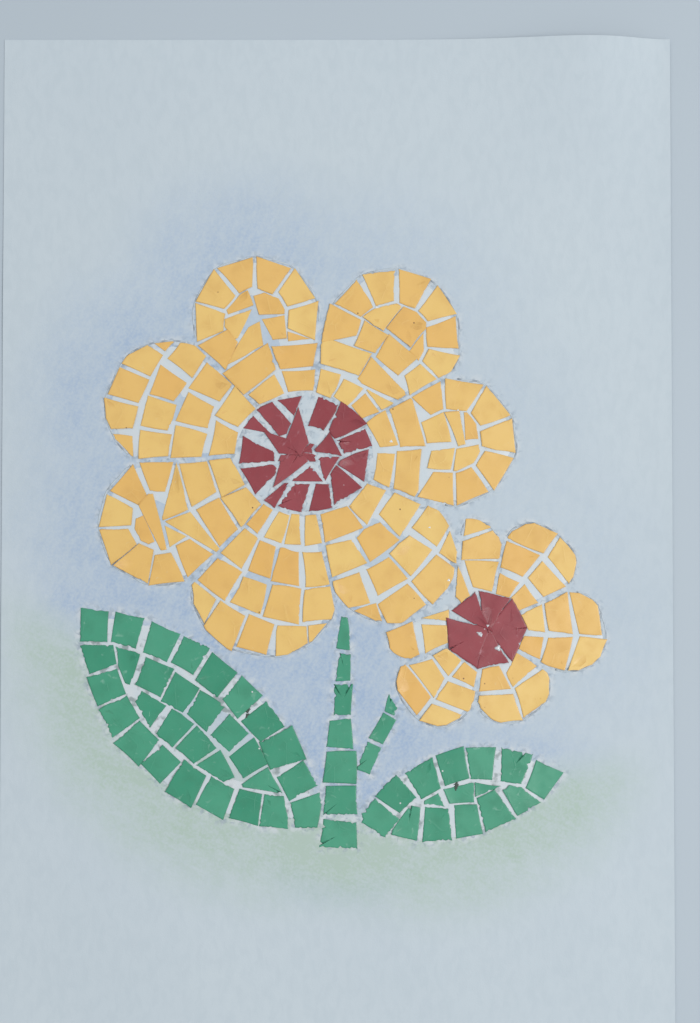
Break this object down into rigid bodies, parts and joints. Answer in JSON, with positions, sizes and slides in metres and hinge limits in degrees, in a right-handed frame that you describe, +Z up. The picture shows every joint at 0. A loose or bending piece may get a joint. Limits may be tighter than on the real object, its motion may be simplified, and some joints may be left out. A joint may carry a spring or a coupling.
{
  "type": "paper mosaic picture",
  "caption": "Portrait sheet of drawing paper with a large and a small yellow flower, stems and leaves laid in hand-cut tiles of glossy coloured paper; lies flat on its back.",
  "frame": {"origin": "under the middle of the sheet, on the surface that it lies on", "axes": "+X across the sheet to the right of the picture, +Y up the picture, +Z up from the table, out of the face of the picture"},
  "size_m": [0.21, 0.33, 0.0045],
  "materials": {
    "drawing_paper": "matt, slightly toothed drawing paper with soft blue and green pencil shading",
    "yellow_paper": "glossy coloured paper, warm yellow, hand cut and pasted",
    "red_paper": "glossy coloured paper, dull red, hand cut and pasted",
    "green_paper": "glossy coloured paper, blue green, hand cut and pasted"
  },
  "bodies": {
    "root": {"big_disc_heart_1": "red_paper", "big_disc_heart_2": "red_paper", "big_disc_heart_3": "red_paper", "big_disc_rim_1": "red_paper", "big_disc_rim_10": "red_paper", "big_disc_rim_11": "red_paper", "big_disc_rim_12": "red_paper", "big_disc_rim_13": "red_paper", "big_disc_rim_2": "red_paper", "big_disc_rim_3": "red_paper", "big_disc_rim_4": "red_paper", "big_disc_rim_5": "red_paper", "big_disc_rim_6": "red_paper", "big_disc_rim_7": "red_paper", "big_disc_rim_8": "red_paper", "big_disc_rim_9": "red_paper", "big_disc_star": "red_paper", "big_petal_bottom": "yellow_paper", "big_petal_left": "yellow_paper", "big_petal_lower_left": "yellow_paper", "big_petal_lower_right": "yellow_paper", "big_petal_right": "yellow_paper", "big_petal_upper_left": "yellow_paper", "big_petal_upper_right": "yellow_paper", "left_leaf": "green_paper", "paper_sheet": "drawing_paper", "right_leaf": "green_paper", "side_stem_1": "green_paper", "side_stem_2": "green_paper", "side_stem_3": "green_paper", "small_disc": "red_paper", "small_petal_bottom": "yellow_paper", "small_petal_left": "yellow_paper", "small_petal_lower_left": "yellow_paper", "small_petal_right": "yellow_paper", "small_petal_top": "yellow_paper", "small_petal_upper_right": "yellow_paper", "stem_1": "green_paper", "stem_2": "green_paper", "stem_3": "green_paper", "stem_4": "green_paper", "stem_5": "green_paper", "stem_6": "green_paper", "stem_7": "green_paper"}
  },
  "joints": []
}
